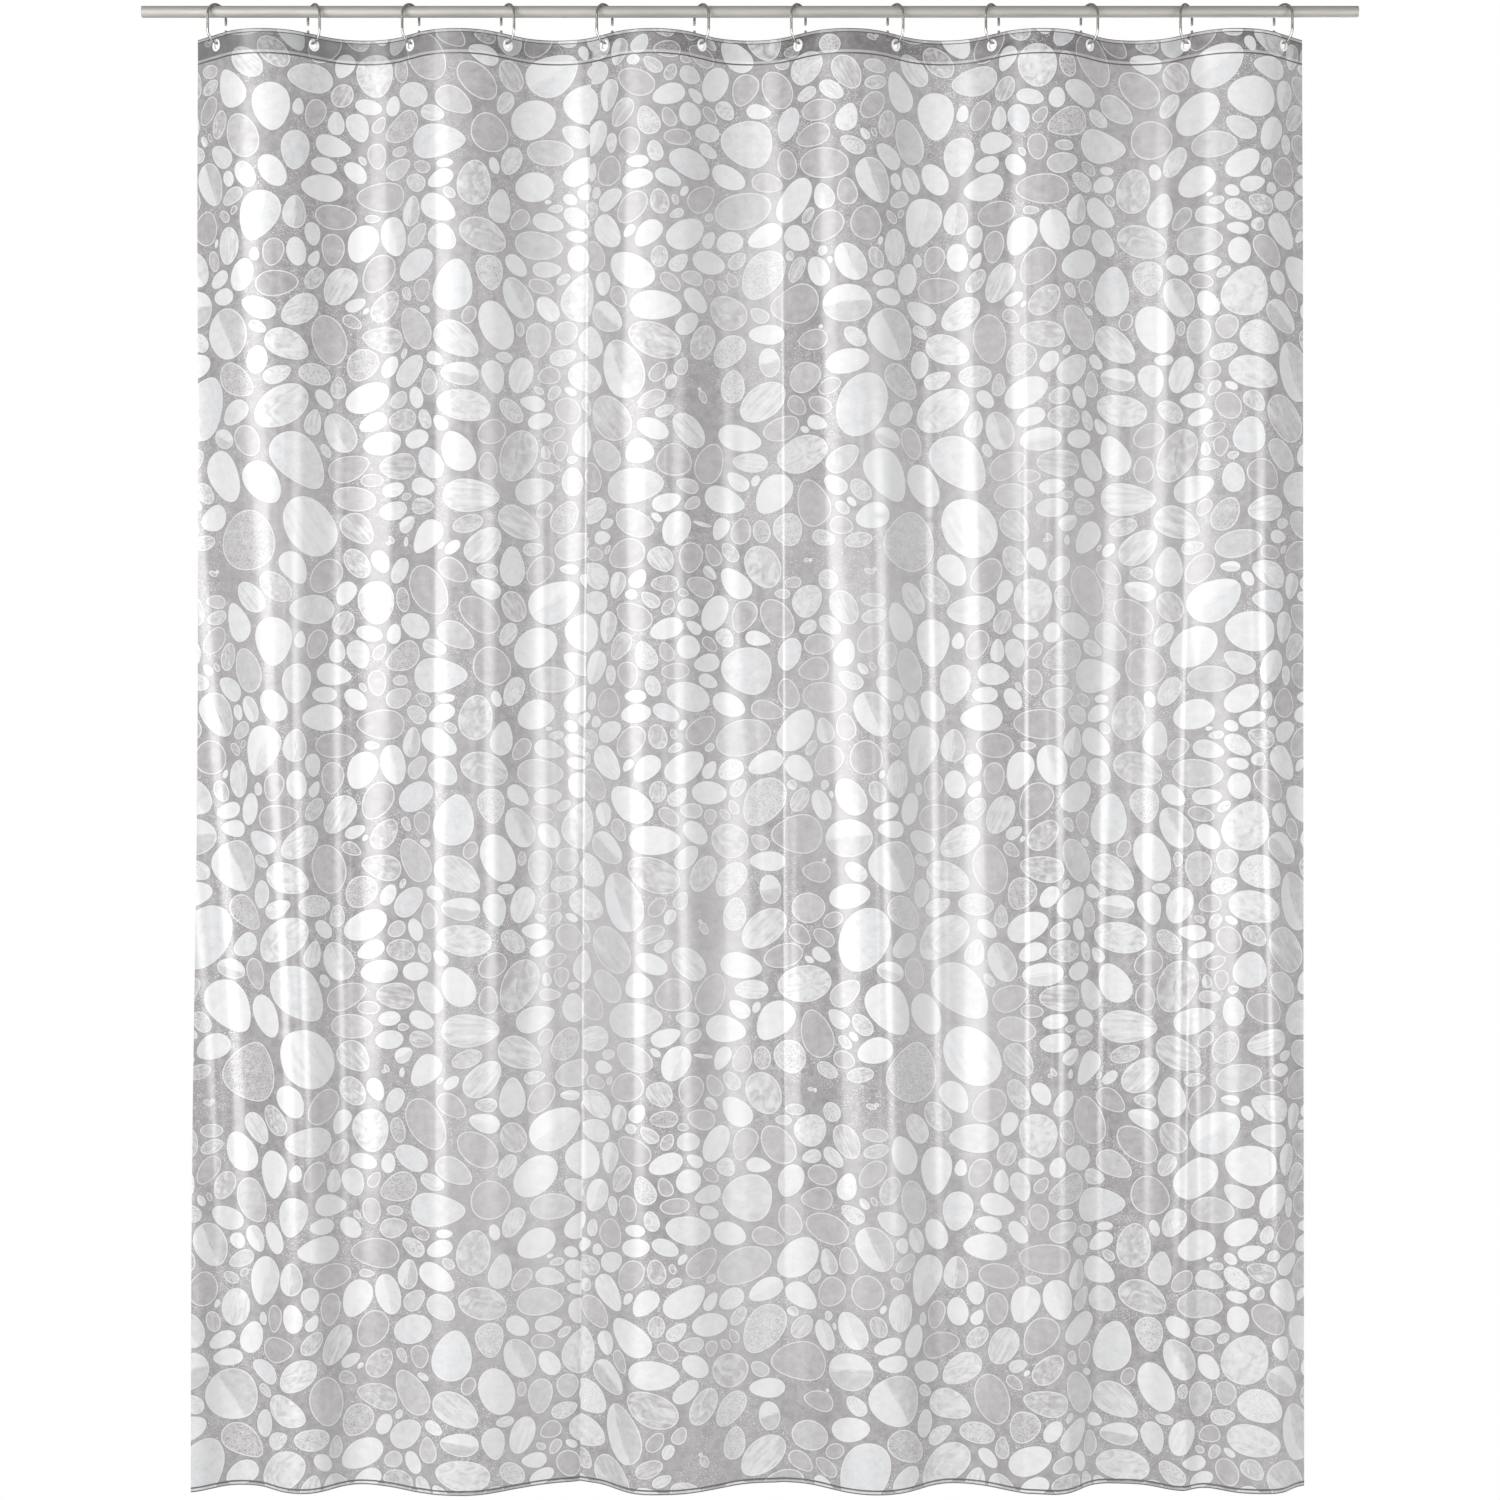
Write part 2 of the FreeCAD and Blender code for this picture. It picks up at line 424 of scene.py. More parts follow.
# %% From crest to crest
def ease(t):
    """0 to 1, smoothly."""
    t = np.clip(t, 0, 1)
    return t * t * (3 - 2 * t)


def arch_rise(t):
    """The share of the way from one crest to the next: an arc, a straight run, an arc."""
    half = np.minimum(t, 1 - t) * pitch
    arc = FOLD_RADIUS * math.sin(math.pi / 4)
    bent = np.minimum(half, arc)
    rise = FOLD_RADIUS - np.sqrt(FOLD_RADIUS**2 - bent**2) + np.maximum(half - arc, 0)
    share = rise / (2 * TOP_DEPTH)
    return np.where(t < 0.5, share, 1 - share)


def ring_line(x):
    """The film's depth along the line of eyelets."""
    inner = np.clip(x, ring_x[0], ring_x[-1])
    place = (inner - top_crests[0]) / pitch
    i = np.clip(np.floor(place).astype(int), 0, len(top_crests) - 2)
    y = top_depths[i] + (top_depths[i + 1] - top_depths[i]) * arch_rise(place - i)
    left, right = np.minimum(x - ring_x[0], 0), np.maximum(x - ring_x[-1], 0)
    return y - left + right * 1.0


def free_folds(x, drop):
    """The depth of the wandering folds. drop is 0 at the eyelets and 1 at the hem."""
    shape = np.broadcast(x, drop).shape
    x, drop = np.broadcast_to(x, shape), np.broadcast_to(drop, shape)
    going = ease(drop)
    y = np.zeros(shape)
    sway = WANDER * np.sin(math.pi * drop) ** 2
    crests = [
        a + (b - a) * going + sway * np.sin(4.1 * drop + phase)
        for a, b, phase in zip(top_crests, hem_crests, crest_phase)
    ]
    depths = [a + (b - a) * going for a, b in zip(top_depths, hem_depths)]
    for i in range(len(crests) - 1):
        t = (x - crests[i]) / (crests[i + 1] - crests[i])
        here = (t >= 0) & (t < 1)
        t = np.clip(t, 0, 1)
        soft = 0.5 - 0.5 * np.cos(math.pi * t)
        share = arch_rise(t) * (1 - 0.35 * going) + soft * 0.35 * going
        y = np.where(here, depths[i] + (depths[i + 1] - depths[i]) * share, y)
    return y


print("crests at the hem:", len(hem_crests), "depth at the rings:", round(TOP_DEPTH, 1))

# %% [markdown]
# Small folds ride on the large ones: one extra wave grows towards the hem at the
# right, a tuck runs down beside the fifth ring where the film was pinched as it
# was made, and faint upright creases and one level crease are left from packing.
# Round each eyelet the film puckers a little.

# %% Small folds
EXTRA_FOLD = (609.0, 68.0, 26.0, 46.0)  # place, half its length, depth and how far it reaches
TUCK_TOP, TUCK_HEM = -220.0, -236.5
CREASES = ((47.0, 2.2, 7.0), (378.0, -2.0, 8.0), (-445.0, 1.4, 9.0), (596.0, -1.6, 8.0))
PACKING_CREASE = 690.0  # below the rod
EYELET_HOLD = 11.0  # the film is flat this near an eyelet's middle


def small_folds(x, z, drop):
    place, half, depth, reach = EXTRA_FOLD
    y = ease(drop * 1.1) ** 1.5 * depth * np.sin(math.pi * (x - place) / half) * np.exp(
        -(((x - place) / reach) ** 2)
    )
    tuck = TUCK_TOP + (TUCK_HEM - TUCK_TOP) * drop
    y = y + 7.0 * ease(drop * 9) * np.exp(-np.abs(x - tuck) / 8.0)
    for crease_x, height, spread in CREASES:
        y = y + height * ease(drop * 6) * np.exp(-(((x - crease_x) / spread) ** 2))
    y = y + 0.6 * np.exp(-(((z + PACKING_CREASE) / 5.0) ** 2)) * np.sin(x / 190.0 + 0.6)
    for wave, height, turn in ((67.0, 0.5, 2.1), (103.0, 1.1, 4.0)):
        y = y + height * ease(drop * 4) * np.sin(
            math.tau * x / wave + turn + 1.6 * np.sin(z / 410.0 + turn)
        )
    return y


def puckers(x, z):
    nearest = ring_x[np.clip(np.round((x - ring_x[0]) / pitch).astype(int), 0, len(ring_x) - 1)]
    across, up = (x - nearest) * math.sqrt(2), z - eyelet_z
    away = np.hypot(across, up)
    ripple = np.cos(5 * np.arctan2(up, across) + 0.7 * nearest)
    return 0.7 * ripple * np.exp(-(((away - 26) / 11) ** 2)) * ease((away - EYELET_HOLD) / 8)


# %% [markdown]
# The whole depth is the ring line at the top, which gives way to the free folds
# over the first quarter metre. Each level's depth is scaled until its length
# across is 1800 mm, which a few halvings find for all levels at once.

# %% Depth of the film, in mm
HELD_DEPTH = 30.0  # below the film's top edge, down to here, the rings set the shape
FREE_DEPTH = 330.0


def loose_depth(x, z, scale):
    drop = np.clip((film_top - HELD_DEPTH - z) / (film_length - HELD_DEPTH), 0, 1)
    loose = ease((film_top - HELD_DEPTH - z) / (FREE_DEPTH - HELD_DEPTH))
    y = (1 - loose) * ring_line(x) + loose * free_folds(x, drop)
    return (y + small_folds(x, z, drop) * ease(drop * 8)) * (1 + (scale - 1) * loose)


level_z = np.linspace(film_top - HELD_DEPTH, film_bottom, 160)
across_x = np.linspace(-film_end, film_end, 1200)
low, high = np.full(len(level_z), 0.5), np.full(len(level_z), 1.6)
for _ in range(18):
    scale = (low + high) / 2
    y = loose_depth(across_x[None, :], level_z[:, None], scale[:, None])
    length = np.hypot(np.diff(across_x)[None, :], np.diff(y, axis=1)).sum(1)
    low, high = (
        np.where(length < film_width, scale, low),
        np.where(length < film_width, high, scale),
    )
level_scale = (low + high) / 2
print("fold scale from", level_scale.min().round(3), "to", level_scale.max().round(3))


def film_depth(x, z):
    """The film's depth at a place across and down, all in mm."""
    scale = np.interp(-z, -level_z, level_scale)
    return loose_depth(x, z, scale) + puckers(x, z)


# %% [markdown]
# ## The pebble print
#
# The film is printed with some hundreds of flat egg-shaped pebbles that never
# touch, in a repeat of 1080 by 730 mm. A cell texture would give straight-sided
# cells, and the real pebbles are rounded, so they are packed by a small routine:
# pebbles of many sizes are scattered, each takes the ground that is nearer to it
# than to the others, measured by its own oval, each moves to the middle of its
# ground and takes the ground's lean and length. After a few rounds each pebble is
# the largest oval that fits its ground, less half a gap.

# %% Packing the pebbles
REPEAT = np.array([900.0, 730.0])
PRINT_STRETCH = 1.2  # across the roll, so that the pebbles look round once the film is gathered
PEBBLES = 425
CELL = 2.0  # mm between the places that the routine tests
HALF_GAP = 1.7
MOST_GROWTH = 1.35  # how much one axis of a pebble may grow at the end
packing = np.random.default_rng(21)
cells = (REPEAT / CELL).astype(int)
REACH = int(64 / CELL)
offsets = np.stack(
    np.meshgrid(np.arange(-REACH, REACH + 1), np.arange(-REACH, REACH + 1), indexing="ij"), -1
)

stone_place = packing.random((PEBBLES, 2)) * REPEAT
stone_size = np.clip(np.exp(packing.normal(math.log(20), 0.34, PEBBLES)), 11, 34)
stone_aspect = packing.uniform(1.05, 1.5, PEBBLES)
stone_long, stone_short = stone_size * np.sqrt(stone_aspect), stone_size / np.sqrt(stone_aspect)
stone_turn = packing.uniform(0, math.pi, PEBBLES)
stone_egg = packing.uniform(-0.26, 0.26, PEBBLES)


def oval_view(i):
    """Cells round pebble i, their place from its middle, and how many ovals out they are."""
    home = np.floor(stone_place[i] / CELL).astype(int)
    index = (home + offsets) % cells
    away = (home + offsets + 0.5) * CELL - stone_place[i]
    c, s = math.cos(stone_turn[i]), math.sin(stone_turn[i])
    p = (away[..., 0] * c + away[..., 1] * s) / stone_long[i]
    q = (away[..., 1] * c - away[..., 0] * s) / stone_short[i]
    q = q / np.maximum(1 + stone_egg[i] * np.clip(p, -1.3, 1.3), 0.5)
    return index, away, p, q


for settling in range(9):
    nearest = np.full(cells, np.inf)
    owner = np.full(cells, -1)
    for i in range(PEBBLES):
        index, away, p, q = oval_view(i)
        at, out = (index[..., 0], index[..., 1]), np.hypot(p, q)
        closer = out < nearest[at]
        nearest[at] = np.where(closer, out, nearest[at])
        owner[at] = np.where(closer, i, owner[at])
    for i in range(PEBBLES):
        index, away, p, q = oval_view(i)
        own = owner[index[..., 0], index[..., 1]] == i
        if own.sum() < 12:
            continue
        ground = away[own]
        spread = np.cov(ground.T) * 4
        stone_place[i] = (stone_place[i] + ground.mean(0)) % REPEAT
        if settling < 8:
            sizes, axes = np.linalg.eigh(spread)
            aim = np.sqrt(np.maximum(sizes, 16))
            aspect = min(aim[1] / aim[0], 1.5)
            size = math.sqrt(aim[0] * aim[1])
            stone_turn[i] = math.atan2(axes[1, 1], axes[0, 1])
            stone_size[i] = 0.75 * stone_size[i] + 0.25 * size
            stone_long[i] = stone_size[i] * math.sqrt(aspect)
            stone_short[i] = stone_size[i] / math.sqrt(aspect)

for i in range(PEBBLES):
    index, away, p, q = oval_view(i)
    foreign = owner[index[..., 0], index[..., 1]] != i
    fit = np.hypot(p, q)[foreign].min()
    p, q = np.abs(p[foreign]) / fit, np.abs(q[foreign]) / fit
    longer = min((p / np.sqrt(np.maximum(1 - q**2, 1e-4)))[q < 1].min(), MOST_GROWTH)
    p = p / longer
    wider = min((q / np.sqrt(np.maximum(1 - p**2, 1e-4)))[p < 1].min(), MOST_GROWTH)
    stone_long[i] = max(stone_long[i] * fit * longer - HALF_GAP, 3.0)
    stone_short[i] = max(stone_short[i] * fit * wider - HALF_GAP, 3.0)
print("pebbles", PEBBLES, "long axes", np.percentile(2 * stone_long, [5, 50, 95]).round())

# %% [markdown]
# Each pebble then gets its dye. About a third are plain white, a third a light
# cool grey, a quarter mid grey, and the rest are ghosts that show only their
# outline. Many carry a pattern: half white, streaked, marbled or specked.

# %% Dyeing the pebbles
DYES = {
    "white": (1.0, 0.25),
    "cool_grey": (0.7, 0.31),
    "mid_grey": (0.46, 0.27),
    "ghost": (0.27, 0.17),
}
PATTERNS = {"plain": 0.36, "half_white": 0.14, "streaked": 0.16, "marbled": 0.22, "specked": 0.12}
dye_tones = np.array([tone for tone, _ in DYES.values()])
dye_shares = np.array([share for _, share in DYES.values()])
dye = packing.choice(len(DYES), PEBBLES, p=dye_shares / dye_shares.sum())
stone_tone = dye_tones[dye] + packing.uniform(-0.05, 0.05, PEBBLES) * (dye != 0)
pattern_shares = np.array(list(PATTERNS.values()))
stone_pattern = packing.choice(len(PATTERNS), PEBBLES, p=pattern_shares / pattern_shares.sum())
stone_pattern = np.where(dye == 3, 0, stone_pattern)
stone_pattern = np.where((dye == 0) & (packing.random(PEBBLES) < 0.75), 0, stone_pattern)
stone_seed = packing.uniform(0, 50, PEBBLES)
print({name: int((dye == k).sum()) for k, name in enumerate(DYES)})

# %% [markdown]
# A shader can't search through 425 pebbles at each point, so each face of the
# film carries the three pebbles nearest to it as plain numbers: how to turn a
# place on the flat film into a place on the pebble, its size, and its dye. The
# shader works out the oval outlines from those, so they stay sharp however near
# the camera comes.

# %% The three nearest pebbles of each cell
NEAREST = 3
cell_gap = np.full((NEAREST, *cells), np.inf)
cell_stone = np.zeros((NEAREST, *cells), int)
for i in range(PEBBLES):
    index, away, p, q = oval_view(i)
    at, out = (index[..., 0], index[..., 1]), np.hypot(p, q)
    gap = np.hypot(away[..., 0], away[..., 1]) * (1 - 1 / np.maximum(out, 0.001))
    stone = np.full(gap.shape, i)
    for k in range(NEAREST):
        old_gap, old_stone = cell_gap[k][at], cell_stone[k][at]
        closer = gap < old_gap
        cell_gap[k][at] = np.where(closer, gap, old_gap)
        cell_stone[k][at] = np.where(closer, stone, old_stone)
        gap, stone = np.where(closer, old_gap, gap), np.where(closer, old_stone, stone)
inked = (cell_gap[0] < 0).mean()
print("share of the film under pebbles:", inked.round(2))


# %% [markdown]
# ## Laying the film out flat
#
# The print belongs to the flat sheet, so every corner of the mesh needs its place
# on it: the length across along the folds, and the length down.


# %% Flat places
def running_length(x, y):
    steps = np.hypot(np.diff(x)[None, :], np.diff(y, axis=1))
    return np.concatenate([np.zeros((len(y), 1)), np.cumsum(steps, axis=1)], axis=1)


level_depth = loose_depth(across_x[None, :], level_z[:, None], level_scale[:, None])
level_flat = running_length(across_x, level_depth)
level_flat *= film_width / level_flat[:, -1:]
TUCK_TAKEN = 15.0  # the film's width that the tuck swallows, in mm


def flat_across(x, z):
    """The place across the flat sheet, for points given in mm."""
    row = np.clip(
        (level_z[0] - z) / (level_z[0] - level_z[-1]) * (len(level_z) - 1), 0, len(level_z) - 1.001
    )
    column = np.clip(
        (x + film_end) / (2 * film_end) * (len(across_x) - 1), 0, len(across_x) - 1.001
    )
    r, c = row.astype(int), column.astype(int)
    fr, fc = row - r, column - c
    upper = level_flat[r, c] * (1 - fc) + level_flat[r, c + 1] * fc
    lower = level_flat[r + 1, c] * (1 - fc) + level_flat[r + 1, c + 1] * fc
    return upper * (1 - fr) + lower * fr


print("flat width at the hem:", level_flat[-1, -1].round(1))

# %% [markdown]
# ## The film's pieces
#
# When the curtain is drawn, the film between two rings folds up, so it is cut
# upright at each ring and at each crest into strips. Every strip comes from one
# grid, whose
# columns are spread from a ring to a crest, and whose rows follow one path: up the
# back of the narrow hem, round the bottom edge, up the front, over the top and
# down the back of the header, where the film is doubled and welded. The strips
# share their edges and their normals, so no joint shows.

# %% Rows and columns
LAYER = 0.3  # mm from the middle of a doubled edge to either layer
HEADER, HEM = 33.0, 5.0
WELD_WIDTH = 2.6
FINE_STEP, FILM_STEP = 1.65, 5.5
NECK_HOLE = 6.6  # the punched hole, hidden by the eyelet's rim


def stations(start, end, step):
    return np.linspace(start, end, int(round(abs(end - start) / step)) + 1)


header_foot = film_top - HEADER - 3 * FINE_STEP
path_parts = [  # heights, how far behind the middle, and the turn from front to back
    (stations(film_bottom + HEM, film_bottom + LAYER, FINE_STEP), LAYER, math.pi),
    (np.array([film_bottom]), 0.0, math.pi / 2),
    (stations(film_bottom + LAYER, film_bottom + HEM, FINE_STEP), -LAYER, 0.0),
    (stations(film_bottom + HEM, header_foot, FILM_STEP)[1:-1], -LAYER, 0.0),
    (stations(header_foot, film_top - LAYER, FINE_STEP), -LAYER, 0.0),
    (np.array([film_top]), 0.0, math.pi / 2),
    (stations(film_top - LAYER, film_top - HEADER, FINE_STEP), LAYER, math.pi),
]
path_z = np.concatenate([z for z, _, _ in path_parts])
path_behind = np.concatenate([np.full(len(z), behind) for z, behind, _ in path_parts])
path_turn = np.concatenate([np.full(len(z), turn) for z, _, turn in path_parts])
path_part = np.concatenate([np.full(len(z), k) for k, (z, _, _) in enumerate(path_parts)])
path_down = film_top - path_z
path_down = np.where(path_part == 0, 2 * film_length - path_down, path_down)
path_down = np.where(path_part == 6, -path_down, path_down)
weld = np.exp(-(((film_top - path_z - HEADER + WELD_WIDTH / 2) / WELD_WIDTH) ** 2))
path_behind = path_behind * (1 - 0.8 * weld)

near_ring = np.arange(5) * 1.6
bay_steps = np.concatenate([near_ring, stations(near_ring[-1], pitch / 2, FILM_STEP)[1:]])
edge_steps = np.concatenate(
    [near_ring, stations(near_ring[-1], film_end - ring_x[-1], FILM_STEP)[1:]]
)
print("rows", len(path_z), "columns a strip", len(bay_steps) - 1)


# %% One strip
def tuck_place(z):
    drop = np.clip((film_top - HELD_DEPTH - z) / (film_length - HELD_DEPTH), 0, 1)
    return TUCK_TOP + (TUCK_HEM - TUCK_TOP) * drop


def film_normal(x, z):
    """The film's direction to the bath side."""
    step = 0.25
    slope_x = (film_depth(x + step, z) - film_depth(x - step, z)) / (2 * step)
    slope_z = (film_depth(x, z + step) - film_depth(x, z - step)) / (2 * step)
    normal = np.stack([-slope_x, np.ones_like(x), -slope_z], -1)
    return normal / np.linalg.norm(normal, axis=1)[:, None]


def film_strip(name, columns, ring):
    """A strip of film through the columns' places, in mm. ring is the place of its eyelet."""
    maker = bmesh.new()
    rows = len(path_z)
    bmesh.ops.create_grid(maker, x_segments=len(columns) - 1, y_segments=rows - 1, size=0.5)
    for vert in maker.verts:
        column = round((vert.co.x + 0.5) * (len(columns) - 1))
        row = round((vert.co.y + 0.5) * (rows - 1))
        vert.co = (columns[column], row, path_z[row])
    punched = [
        face for face in maker.faces
        if all(
            math.hypot((v.co.x - ring) * math.sqrt(2), v.co.z - eyelet_z) < NECK_HOLE
            for v in face.verts
        )
    ]
    bmesh.ops.delete(maker, geom=punched, context="FACES")
    strip = new_piece(name, maker, film)

    mesh = strip.data
    co = np.zeros(len(mesh.vertices) * 3, np.float32)
    mesh.vertices.foreach_get("co", co)
    x, row, z = co.reshape(-1, 3).astype(float).T
    row = np.round(row).astype(int)

    tucked = columns.min() < TUCK_TOP < columns.max()
    seam = columns[np.abs(columns - TUCK_TOP).argmin()]
    if tucked:
        to_end = np.where(
            x < seam,
            (x - columns.min()) / (seam - columns.min()),
            (columns.max() - x) / (columns.max() - seam),
        )
        x = x + (tuck_place(z) - seam) * to_end * ease((film_top - z - HELD_DEPTH) / 60)

    across, up = (x - ring) * math.sqrt(2), z - eyelet_z
    away = np.hypot(across, up)
    push = np.where((away < NECK_HOLE) & (away > 0), NECK_HOLE / np.maximum(away, 1e-6), 1.0)
    x, z = ring + across * push / math.sqrt(2), eyelet_z + up * push

    normal = film_normal(x, z)
    place = np.stack([x, film_depth(x, z), z], -1) + normal * path_behind[row][:, None]
    mesh.vertices.foreach_set("co", (place * MM).astype(np.float32).ravel())
    upward = np.where(path_part[row] > 3, 1.0, -1.0)
    edge_way = np.stack([np.zeros_like(x), np.zeros_like(x), upward], -1)
    turn = path_turn[row][:, None]
    mesh.update()
    mesh.normals_split_custom_set_from_vertices(
        (-np.cos(turn) * normal + np.sin(turn) * edge_way).astype(np.float32)
    )

    corner_vert = np.zeros(len(mesh.loops), np.int32)
    mesh.loops.foreach_get("vertex_index", corner_vert)
    corner_vert = corner_vert.reshape(-1, 4)
    flat_x = flat_across(x, z)[corner_vert]
    flat_z = path_down[row][corner_vert] + (
        (path_z[row] - z)[corner_vert] * np.cos(path_turn[row][corner_vert])
    )
    past_tuck = x[corner_vert].mean(1) > (
        seam if not tucked else tuck_place(z[corner_vert].mean(1))
    )
    flat_x = flat_x + TUCK_TAKEN * past_tuck[:, None]

    def store(attribute, domain, values):
        made = mesh.attributes.new(attribute, "FLOAT_VECTOR", domain)
        made.data.foreach_set("vector", values.astype(np.float32).ravel())

    flat_place = np.stack([flat_x / PRINT_STRETCH, flat_z, np.ones_like(flat_x)], -1)
    store("flat_place", "CORNER", flat_place)
    middle = flat_place[..., :2].mean(1)
    cell = np.floor(np.mod(middle, REPEAT) / CELL).astype(int) % cells
    for k in range(NEAREST):
        stone = cell_stone[k][cell[:, 0], cell[:, 1]]
        home = stone_place[stone]
        home = home + REPEAT * np.round((middle - home) / REPEAT)
        c, s = np.cos(stone_turn[stone]), np.sin(stone_turn[stone])
        long, short = stone_long[stone], stone_short[stone]
        store(f"pebble_{k}_long_way", "FACE", np.stack(
            [c / long, s / long, -(home[:, 0] * c + home[:, 1] * s) / long], -1))
        store(f"pebble_{k}_short_way", "FACE", np.stack(
            [-s / short, c / short, -(home[:, 1] * c - home[:, 0] * s) / short], -1))
        store(f"pebble_{k}_size", "FACE", np.stack([long, short, stone_egg[stone]], -1))
        store(f"pebble_{k}_dye", "FACE", np.stack(
            [stone_tone[stone], stone_pattern[stone], stone_seed[stone]], -1))
    return strip


# %% [markdown]
# ## The printed film
#
# The film is soft PEVA, calendered: clear itself, frosted by a grey ground print,
# with the pebbles printed over it in thicker ink. One layer lets about two fifths
# of the light through between pebbles and hardly any through the white ones, so
# the doubled header looks darker against a bright room. The shader has a colour
# and an opacity for each tone of ink, and the gloss of a smooth plastic.
#
# First the outlines: for each of the three pebbles that a face carries, the place
# on the flat film becomes a place on the pebble, and then a distance in mm from
# its outline. The nearest of the three wins.

# %% Pebble outlines in the film's material
film, tree, shader = new_material("printed_peva_film")
flat_place = add(tree, "Attribute", attribute_name="flat_place").outputs["Vector"]
nearest_place, nearest_dye = None, None
for k in range(NEAREST):
    long_way, short_way, size, dye_marks = (
        add(tree, "Attribute", attribute_name=f"pebble_{k}_{mark}").outputs["Vector"]
        for mark in ("long_way", "short_way", "size", "dye")
    )
    along = add(
        tree, "VectorMath", {0: flat_place, 1: long_way}, operation="DOT_PRODUCT"
    ).outputs["Value"]
    across = add(
        tree, "VectorMath", {0: flat_place, 1: short_way}, operation="DOT_PRODUCT"
    ).outputs["Value"]
    sizes = add(tree, "SeparateXYZ", {0: size})
    taper = add(
        tree, "Math", {0: along, 1: sizes.outputs["Z"], 2: 1.0}, operation="MULTIPLY_ADD"
    ).outputs[0]
    taper = add(tree, "Math", {0: taper, 1: 0.5}, operation="MAXIMUM").outputs[0]
    across_egg = add(tree, "Math", {0: across, 1: taper}, operation="DIVIDE").outputs[0]
    oval = add(tree, "CombineXYZ", {0: along, 1: across_egg}).outputs[0]
    out = add(tree, "VectorMath", {0: oval}, operation="LENGTH").outputs["Value"]
    true_place = add(
        tree,
        "VectorMath",
        {0: add(tree, "CombineXYZ", {0: along, 1: across}).outputs[0], 1: size},
        operation="MULTIPLY",
    ).outputs["Vector"]
    from_middle = add(tree, "VectorMath", {0: true_place}, operation="LENGTH").outputs["Value"]
    outline = add(tree, "Math", {0: from_middle, 1: out}, operation="DIVIDE").outputs[0]
    outside = add(tree, "Math", {0: from_middle, 1: outline}, operation="SUBTRACT").outputs[0]
    on_pebble = add(tree, "CombineXYZ", {0: along, 1: across_egg, 2: outside}).outputs[0]
    if k == 0:
        nearest_place, nearest_dye, nearest_outside = on_pebble, dye_marks, outside
        continue
    nearer = add(tree, "Math", {0: outside, 1: nearest_outside}, operation="LESS_THAN").outputs[0]
    nearest_outside = add(
        tree, "Math", {0: outside, 1: nearest_outside}, operation="MINIMUM"
    ).outputs[0]
    nearest_place = add(
        tree, "Mix", {"Factor": nearer, 4: nearest_place, 5: on_pebble}, data_type="VECTOR"
    ).outputs[1]
    nearest_dye = add(
        tree, "Mix", {"Factor": nearer, 4: nearest_dye, 5: dye_marks}, data_type="VECTOR"
    ).outputs[1]

marks = add(tree, "SeparateXYZ", {0: nearest_dye})
tone, pattern, seed = marks.outputs[0], marks.outputs[1], marks.outputs[2]
inside = add(
    tree,
    "MapRange",
    {"Value": nearest_outside, "From Min": 0.35, "From Max": -0.35, "To Min": 0.0, "To Max": 1.0},
    interpolation_type="SMOOTHSTEP",
).outputs[0]
RIM = 1.5  # mm of lighter ink round a pebble
rim = add(
    tree,
    "MapRange",
    {"Value": nearest_outside, "From Min": -RIM - 0.5, "From Max": -RIM + 0.2},
    interpolation_type="SMOOTHSTEP",
).outputs[0]
print("nodes for the outlines:", len(tree.nodes))

# %% [markdown]
# Then the patterns, each of which moves the pebble's tone up or down the scale
# from ground grey to white. They use the place on the pebble itself, with its seed
# as a third direction, so that streaks run along a pebble and no two are alike.

# %% Pebble patterns
own_place = add(
    tree,
    "CombineXYZ",
    {
        0: add(tree, "SeparateXYZ", {0: nearest_place}).outputs[0],
        1: add(tree, "SeparateXYZ", {0: nearest_place}).outputs[1],
        2: seed,
    },
).outputs[0]
streak_place = add(tree, "Mapping", {"Vector": own_place, "Scale": (0.6, 2.4, 1.0)}).outputs[0]
streak_ink = add(
    tree, "TexNoise", {"Vector": streak_place, "Scale": 1.6, "Detail": 2.0, "Distortion": 0.4}
).outputs[0]
marble_ink = add(
    tree, "TexNoise", {"Vector": own_place, "Scale": 1.3, "Detail": 4.0, "Distortion": 2.2}
).outputs[0]
half_place = add(tree, "SeparateXYZ", {0: own_place}).outputs[1]
half_edge = add(
    tree, "Math", {0: streak_ink, 1: 1.0, 2: half_place}, operation="MULTIPLY_ADD"
).outputs[0]
SPECK = 1.5  # mm
speck_ink = add(
    tree, "TexNoise", {"Vector": flat_place, "Scale": 1 / SPECK, "Detail": 1.0}
).outputs[0]

pattern_shifts = {
    "half_white": add(
        tree,
        "MapRange",
        {"Value": half_edge, "From Min": 0.4, "From Max": 0.7, "To Min": 0.0, "To Max": 0.45},
    ).outputs[0],
    "streaked": add(
        tree,
        "MapRange",
        {"Value": streak_ink, "From Min": 0.36, "From Max": 0.66, "To Min": -0.16, "To Max": 0.2},
    ).outputs[0],
    "marbled": add(
        tree,
        "MapRange",
        {"Value": marble_ink, "From Min": 0.36, "From Max": 0.66, "To Min": -0.18, "To Max": 0.24},
    ).outputs[0],
    "specked": add(
        tree,
        "MapRange",
        {"Value": speck_ink, "From Min": 0.5, "From Max": 0.64, "To Min": 0.0, "To Max": -0.4},
    ).outputs[0],
}
for code, name in enumerate(PATTERNS):
    if name in pattern_shifts:
        wears = add(
            tree, "Math", {0: pattern, 1: float(code), 2: 0.5}, operation="COMPARE"
        ).outputs[0]
        tone = add(
            tree, "Math", {0: wears, 1: pattern_shifts[name], 2: tone}, operation="MULTIPLY_ADD"
        ).outputs[0]
rim_tone = add(tree, "Math", {0: tone, 1: 0.32, 2: 0.64}, operation="MULTIPLY_ADD").outputs[0]
rim_tone = add(tree, "Math", {0: tone, 1: rim_tone}, operation="MAXIMUM").outputs[0]
